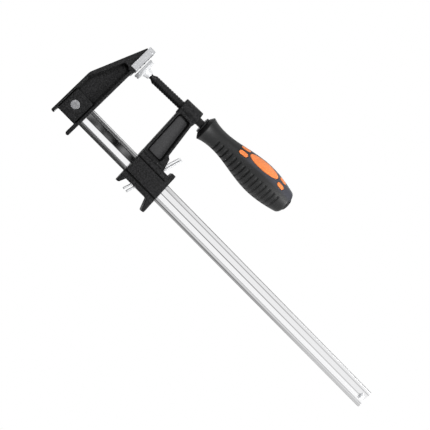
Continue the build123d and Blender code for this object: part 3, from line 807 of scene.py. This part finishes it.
@dataclass
class SlidingJaw:
    """Sliding jaw with the clutch spring in its pocket, places in millimetres."""

    shop: Shop
    grain: float = 0.5
    # Grooves above and below the band of the housing
    lines: tuple[Line, ...] = (
        ((-131.0, 36.1), (-96.0, 36.1)),
        ((-131.0, 17.5), (-89.0, 17.5)),
    )
    # Distance of the grooves' floors from the middle plane
    floor: float = 7.5
    spring_end_x: float = -95.2
    spring_height: float = 13.85
    # Share of the spring's length that is left when the plates are fully released
    spring_left: float = 0.61

    def build(self) -> None:
        """Builds the casting and the spring."""
        nodes = self.shop.nodes
        casting = cast_copy(nodes["sliding_jaw"], "sliding_jaw_casting", self.grain, self.lines, self.floor)
        self.shop.place(casting, Body.SLIDE, Slot.CASTING, "sliding_jaw")
        spring = merged_copy(nodes["clutch_spring"], "clutch_spring_wire")
        smooth(spring, CAST_ANGLE)
        self.shop.place(spring, Body.SLIDE, Slot.SPRING, "clutch_spring")
        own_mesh(spring)


@dataclass
class Clutch:
    """Two tilted plates that grip the bar."""

    shop: Shop

    def build(self) -> None:
        """Builds both plates."""
        for end in ("front", "rear"):
            node = self.shop.nodes[f"clutch_plate_{end}"]
            plate = eased_copy(node, f"clutch_plate_{end}_stamped", width=0.12, segments=2)
            self.shop.place(plate, Body.CLUTCH, Slot.STEEL, node.name)


@dataclass
class Screw:
    """Screw with its thread and its swivel pad; stations are millimetres from the ball's centre."""

    shop: Shop
    thread_radius: float = 4.45
    thread_depth: float = 0.28
    pitch: float = 3.0
    crest: float = 1.5
    flank: float = 0.3
    thread_start: float = 8.5
    thread_end: float = 66.5
    # How far the plain stretches run into the thread
    overlap: float = 0.1
    # Turns of the winding that are cut off before its start, and that it has more than the thread
    run_in: float = 1.5
    spare: int = 2
    # Faces round one turn, and how close corners are merged
    steps: int = 28
    weld: float = 0.01

    def thread(self) -> bpy.types.Object:
        """Models the thread as a ridge of one turn, repeated along the screw's line.

        Returns:
            The thread, a closed rod at its place.
        """
        deselect()
        root = (self.thread_radius - self.thread_depth) * MM
        bpy.ops.mesh.primitive_plane_add(size=MM, location=(0, 0, 0))
        thread = bpy.context.object
        thread.name = "screw_thread"
        bpy.ops.object.mode_set(mode="EDIT")
        bpy.ops.mesh.select_all(action="SELECT")
        bpy.ops.mesh.merge(type="CENTER")
        bpy.ops.transform.translate(value=(0, 0, root))
        rest = self.pitch - self.crest - 2 * self.flank
        rise = self.thread_depth
        for along, up in ((self.flank, rise), (self.crest, 0.0), (self.flank, -rise), (rest, 0.0)):
            bpy.ops.mesh.extrude_region_move(TRANSFORM_OT_translate={"value": (along * MM, 0, up * MM)})
        bpy.ops.object.mode_set(mode="OBJECT")
        # The winding is longer than the thread at both ends, where it is cut off square
        length = self.thread_end - self.thread_start
        turns = math.ceil(length / self.pitch) + self.spare
        turning = {"axis": "X", "angle": math.tau, "screw_offset": self.pitch * MM, "iterations": turns}
        rounding = {"steps": self.steps, "render_steps": self.steps}
        closing = {"use_merge_vertices": True, "merge_threshold": self.weld * MM}
        apply_modifier(thread, "SCREW", {**turning, **rounding, **closing})
        bpy.ops.object.mode_set(mode="EDIT")
        bpy.ops.mesh.select_all(action="SELECT")
        bpy.ops.mesh.remove_doubles(threshold=self.weld * MM)
        first = self.run_in * self.pitch * MM
        for cut, way in ((first, -1), (first + length * MM, 1)):
            bpy.ops.mesh.select_all(action="SELECT")
            bpy.ops.mesh.bisect(plane_co=(cut, 0, 0), plane_no=(way, 0, 0), use_fill=True, clear_outer=True)
        bpy.ops.mesh.select_all(action="SELECT")
        bpy.ops.mesh.normals_make_consistent(inside=False)
        bpy.ops.transform.translate(value=(self.thread_start * MM - first, 0, 0))
        bpy.ops.object.mode_set(mode="OBJECT")
        place = Matrix.Translation(BALL_CENTRE) @ Matrix.Rotation(-SCREW_TOE_IN, 4, "Y")
        thread.data.transform(place)
        return thread

    def stretch(self, name: str, station: float, way: int) -> bpy.types.Object:
        """Copies the spindle and keeps what lies on one side of a station.

        Args:
            name: Name of the stretch.
            station: Where the spindle is cut.
            way: 1 keeps what is in front of the cut, -1 what is behind it.

        Returns:
            The stretch, closed where it was cut.
        """
        piece = merged_copy(self.shop.nodes["screw_spindle"], name)
        bpy.ops.object.mode_set(mode="EDIT")
        bpy.ops.mesh.select_all(action="SELECT")
        cut = BALL_CENTRE + SCREW_LINE * station * MM
        bpy.ops.mesh.bisect(plane_co=cut, plane_no=SCREW_LINE * way, use_fill=True, clear_outer=True)
        bpy.ops.object.mode_set(mode="OBJECT")
        return piece

    def build(self) -> None:
        """Builds the spindle and the swivel's pieces."""
        nodes = self.shop.nodes
        front = self.stretch("screw_ball_end", self.thread_start + self.overlap, 1)
        rear = self.stretch("screw_shank", self.thread_end - self.overlap, -1)
        spindle = self.thread()
        for part in (front, rear, spindle):
            part.select_set(True)
        bpy.context.view_layer.objects.active = spindle
        bpy.ops.object.join()
        spindle.name = "threaded_spindle"
        smooth(spindle, EDGE_ANGLE)
        self.shop.place(spindle, Body.SCREW, Slot.SCREW, "screw_spindle")
        self.shop.keep("swivel_retaining_ring", Slot.SCREW)
        socket = eased_copy(nodes["swivel_socket"], "swivel_bell", width=0.15, segments=2)
        self.shop.place(socket, Body.SWIVEL, Slot.SWIVEL, "swivel_socket")
        cap = eased_copy(nodes["swivel_pad_cap"], "swivel_facing", width=0.3, segments=3)
        self.shop.place(cap, Body.SWIVEL, Slot.PAD, "swivel_pad_cap")


@dataclass
class Handle:
    """Handle with its collar, core, grip, inlays and end plug."""

    shop: Shop
    grain: float = 0.5
    inlay_grain: float = 0.25

    def build(self) -> None:
        """Builds the handle's pieces."""
        nodes = self.shop.nodes
        collar = eased_copy(nodes["handle_collar"], "handle_front_collar", width=0.2, segments=2)
        self.shop.place(collar, Body.SCREW, Slot.SCREW, "handle_collar")
        self.shop.keep("handle_core", Slot.CORE)
        grip = cast_copy(nodes["handle_grip"], "handle_soft_grip", self.grain)
        self.shop.place(grip, Body.SCREW, Slot.GRIP, "handle_grip")
        for size in ("large", "front", "rear"):
            node = nodes[f"handle_inlays_{size}"]
            inlay = cast_copy(node, f"orange_inlays_{size}", self.inlay_grain)
            self.shop.place(inlay, Body.SCREW, Slot.INLAY, node.name)
        plug = eased_copy(nodes["handle_end_plug"], "handle_rear_plug", width=0.2, segments=2)
        self.shop.place(plug, Body.SCREW, Slot.CORE, "handle_end_plug")


@dataclass(frozen=True)
class Lamp:
    """Soft square lamp: its place and the length of its side in metres, and its power in watts."""

    name: str
    place: tuple[float, float, float]
    power: float
    side: float


@dataclass
class Studio:
    """Camera at the photograph's angle, soft lamps, white world and pale floor."""

    # The camera, with angles in degrees and places in millimetres
    yaw: float = 10.735
    pitch: float = 5.0
    roll: float = 44.765
    distance: float = 800.0
    focal_pixels: float = 794.5
    frame_pixels: float = 430.0
    look_at: tuple[float, float, float] = (-34.3, 0.0, 49.66)
    sensor: float = 36.0
    nearest: float = 10.0
    lamps: tuple[Lamp, ...] = (
        Lamp("key_lamp", (-0.9, -1.0, 0.75), 8.0, 0.9),
        Lamp("fill_lamp", (1.1, -0.8, 0.3), 18.5, 0.4),
        Lamp("top_lamp", (0.1, 0.1, 1.4), 3.5, 1.0),
        Lamp("rear_lamp", (0.3, 1.4, 0.5), 8.0, 1.1),
    )
    # Strength of the world as a light
    world_light: float = 0.3
    # Height of a direction, and the tone that metal sees there
    wall_tones: tuple[tuple[float, float], ...] = (
        (-1.0, 0.3),
        (-0.75, 0.3),
        (-0.6, 0.85),
        (-0.2, 0.9),
        (0.0, 0.93),
        (0.12, 0.95),
        (0.3, 1.0),
        (0.68, 1.0),
        (0.82, 0.3),
        (1.0, 0.2),
    )
    # Where the greyer stretch of the walls ends along a direction's X, Z and Y, and its tone
    grey_stretch: tuple[tuple[float, float], ...] = ((0.05, 0.14), (0.1, 0.25), (-0.2, 0.2))
    grey_tone: float = 0.06
    # Where the flags begin along a direction's X, to both sides, and their tone
    flag_edge: tuple[float, float] = (0.5, 0.72)
    flag_tone: float = 0.12
    # The floor's side in metres and its gap under the feet in millimetres
    floor_size: float = 6.0
    floor_gap: float = 0.3
    floor_colour: str = "#f6f6f6"
    # The camera sees this even paleness, in this share
    floor_pale: float = 0.95
    floor_evenness: float = 0.65
    # Metal sees this tone of floor, save for a darker patch: its edges along X and Y are in metres, and
    # its spots in millimetres
    floor_glow: float = 0.98
    patch_edges: tuple[tuple[float, float], ...] = ((-0.12, -0.1), (-0.16, -0.24))
    patch_spot: float = 40 / 3
    patch_tone: float = 0.26

    def camera(self) -> None:
        """Sets up the camera: it looks along +Y, turned a little, with the bar running down its frame."""
        yaw, pitch, roll = (math.radians(angle) for angle in (self.yaw, self.pitch, self.roll))
        ahead = Vector((math.sin(yaw) * math.cos(pitch), math.cos(yaw) * math.cos(pitch), math.sin(pitch)))
        level = Vector((math.cos(yaw), -math.sin(yaw), 0.0))
        above = level.cross(ahead)
        right = level * math.cos(roll) + above * math.sin(roll)
        up = above * math.cos(roll) - level * math.sin(roll)
        deselect()
        bpy.ops.object.camera_add(location=Vector(self.look_at) * MM - ahead * self.distance * MM)
        camera = bpy.context.object
        camera.rotation_euler = Matrix((right, up, -ahead)).transposed().to_euler()
        camera.data.sensor_width = self.sensor
        camera.data.lens = self.focal_pixels / self.frame_pixels * self.sensor
        camera.data.clip_start = self.nearest * MM
        bpy.context.scene.camera = camera

    def light(self, lamp: Lamp) -> None:
        """Adds a lamp that shines at the clamp.

        Args:
            lamp: The lamp.
        """
        deselect()
        bpy.ops.object.light_add(type="AREA", location=lamp.place)
        light = bpy.context.object
        light.name = lamp.name
        light.data.energy = lamp.power
        light.data.size = lamp.side
        aim = Vector(self.look_at) * MM - Vector(lamp.place)
        light.rotation_euler = aim.to_track_quat("-Z", "Y").to_euler()

    def seen_in_metal(self, tree: bpy.types.NodeTree) -> bpy.types.Node:
        """Adds what metal and gloss see of the studio: its walls, a greyer stretch and two black flags.

        Args:
            tree: Tree of the world.

        Returns:
            Node of the brightness in each direction.
        """
        way = add_node(tree, "ShaderNodeTexCoord", {}, {}).outputs["Generated"]
        axes = add_node(tree, "ShaderNodeSeparateXYZ", {}, {0: way}).outputs
        height = add_node(tree, "ShaderNodeMapRange", {"From Min": -1.0, "From Max": 1.0}, {0: axes[2]})
        walls = add_node(tree, "ShaderNodeValToRGB", {}, {0: height})
        set_tones(walls.color_ramp, self.wall_tones, -1.0, 1.0)
        # In front of the fixed jaw metal sees a greyer stretch of the studio, low over the floor
        ends = []
        for axis, (start, end) in zip((0, 2, 1), self.grey_stretch):
            edge = {"From Min": start, "From Max": end}
            ends.append(add_node(tree, "ShaderNodeMapRange", edge, {0: axes[axis]}))
        clear, *others = ends
        for past in others:
            clear = add_node(tree, "ShaderNodeMath", {"operation": "MAXIMUM"}, {0: clear, 1: past})
        shown = add_node(tree, "ShaderNodeMapRange", {"To Min": self.grey_tone, "To Max": 1.0}, {0: clear})
        # Black flags stand at both sides, so that rounded edges get dark lines
        across = add_node(tree, "ShaderNodeMath", {"operation": "ABSOLUTE"}, {0: axes[0]})
        start, end = self.flag_edge
        edge = {"From Min": start, "From Max": end, "To Min": 1.0, "To Max": self.flag_tone}
        flags = add_node(tree, "ShaderNodeMapRange", edge, {0: across})
        shown = add_node(tree, "ShaderNodeMath", {"operation": "MULTIPLY"}, {0: shown, 1: flags})
        return add_node(tree, "ShaderNodeMath", {"operation": "MULTIPLY"}, {0: walls, 1: shown})

    def world(self) -> None:
        """Makes the world white to the camera, a toned studio to metal, and dim as a light."""
        world = bpy.data.worlds.new("white_studio")
        bpy.context.scene.world = world
        world.use_nodes = True
        tree = world.node_tree
        tree.nodes.clear()
        rays = add_node(tree, "ShaderNodeLightPath", {}, {}).outputs
        most = {"operation": "MAXIMUM"}
        seen = add_node(tree, "ShaderNodeMath", most, {0: rays["Is Camera Ray"], 1: rays["Is Glossy Ray"]})
        seen = add_node(tree, "ShaderNodeMath", most, {0: seen, 1: rays["Is Transmission Ray"]})
        dim = {"Color": WHITE, "Strength": self.world_light}
        light = add_node(tree, "ShaderNodeBackground", dim, {})
        tones = self.seen_in_metal(tree)
        strength = add_node(tree, "ShaderNodeMath", most, {0: rays["Is Camera Ray"], 1: tones})
        sight = add_node(tree, "ShaderNodeBackground", {"Color": WHITE}, {"Strength": strength})
        both = add_node(tree, "ShaderNodeMixShader", {}, {0: seen, 1: light, 2: sight})
        add_node(tree, "ShaderNodeOutputWorld", {}, {"Surface": both})

    def floor_in_metal(self, tree: bpy.types.NodeTree) -> bpy.types.Node:
        """Adds what metal sees of the floor: even white, with a dark, mottled patch before the throat.

        Args:
            tree: Tree of the floor's material.

        Returns:
            Node of a glow.
        """
        places = add_node(tree, "ShaderNodeTexCoord", {}, {}).outputs["Object"]
        axes = add_node(tree, "ShaderNodeSeparateXYZ", {}, {0: places}).outputs
        sides = []
        for axis, (start, end) in zip((0, 1), self.patch_edges):
            edge = {"From Min": start, "From Max": end}
            sides.append(add_node(tree, "ShaderNodeMapRange", edge, {0: axes[axis]}))
        bare = add_node(tree, "ShaderNodeMath", {"operation": "MAXIMUM"}, dict(enumerate(sides)))
        spots = {"Scale": 1 / (self.patch_spot * MM), "Detail": 5.0}
        mottle = add_node(tree, "ShaderNodeTexNoise", spots, {"Vector": places})
        spread = {**MOTTLE_REACH, "To Max": self.patch_tone}
        patch = add_node(tree, "ShaderNodeMapRange", spread, {0: mottle})
        tone = add_node(tree, "ShaderNodeMapRange", {"To Max": self.floor_glow}, {0: bare, 3: patch})
        return add_node(tree, "ShaderNodeEmission", {}, {"Strength": tone})

    def floor(self) -> None:
        """Lays a pale floor under the feet, which is clear from below, where the camera stands."""
        deselect()
        bpy.ops.mesh.primitive_plane_add(size=self.floor_size, location=(0, 0, -self.floor_gap * MM))
        floor = bpy.context.object
        floor.name = "floor"
        material = bpy.data.materials.new("floor_pale")
        material.use_nodes = True
        tree = material.node_tree
        tree.nodes.clear()
        rays = add_node(tree, "ShaderNodeLightPath", {}, {}).outputs
        # To the camera the paint is mostly even and pale, and still takes the clamp's shadow
        paint = add_node(tree, "ShaderNodeBsdfDiffuse", {"Color": linear(self.floor_colour)}, {})
        pale = add_node(tree, "ShaderNodeEmission", {"Strength": self.floor_pale}, {})
        share = {"operation": "MULTIPLY", 1: self.floor_evenness}
        even = add_node(tree, "ShaderNodeMath", share, {0: rays["Is Camera Ray"]})
        paint = add_node(tree, "ShaderNodeMixShader", {}, {0: even, 1: paint, 2: pale})
        both = {0: rays["Is Glossy Ray"], 1: rays["Is Transmission Ray"]}
        seen = add_node(tree, "ShaderNodeMath", {"operation": "MAXIMUM"}, both)
        glow = self.floor_in_metal(tree)
        paint = add_node(tree, "ShaderNodeMixShader", {}, {0: seen, 1: paint, 2: glow})
        clear = add_node(tree, "ShaderNodeBsdfTransparent", {}, {})
        below = add_node(tree, "ShaderNodeNewGeometry", {}, {}).outputs["Backfacing"]
        sides = add_node(tree, "ShaderNodeMixShader", {}, {0: below, 1: paint, 2: clear})
        add_node(tree, "ShaderNodeOutputMaterial", {}, {"Surface": sides})
        floor.data.materials.append(material)

    def build(self) -> None:
        """Sets up the whole studio."""
        self.camera()
        for lamp in self.lamps:
            self.light(lamp)
        self.world()
        self.floor()
        bpy.context.scene.view_settings.view_transform = "Standard"


def main() -> None:
    """Loads the frame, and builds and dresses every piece."""
    logging.basicConfig(level=logging.INFO, format="%(message)s")
    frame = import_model()
    shop = Shop(frame)
    for assembly in (Bar(shop), FixedJaw(shop), SlidingJaw(shop), Clutch(shop), Screw(shop), Handle(shop)):
        assembly.build()
    Studio().build()


if __name__ == "__main__":
    main()
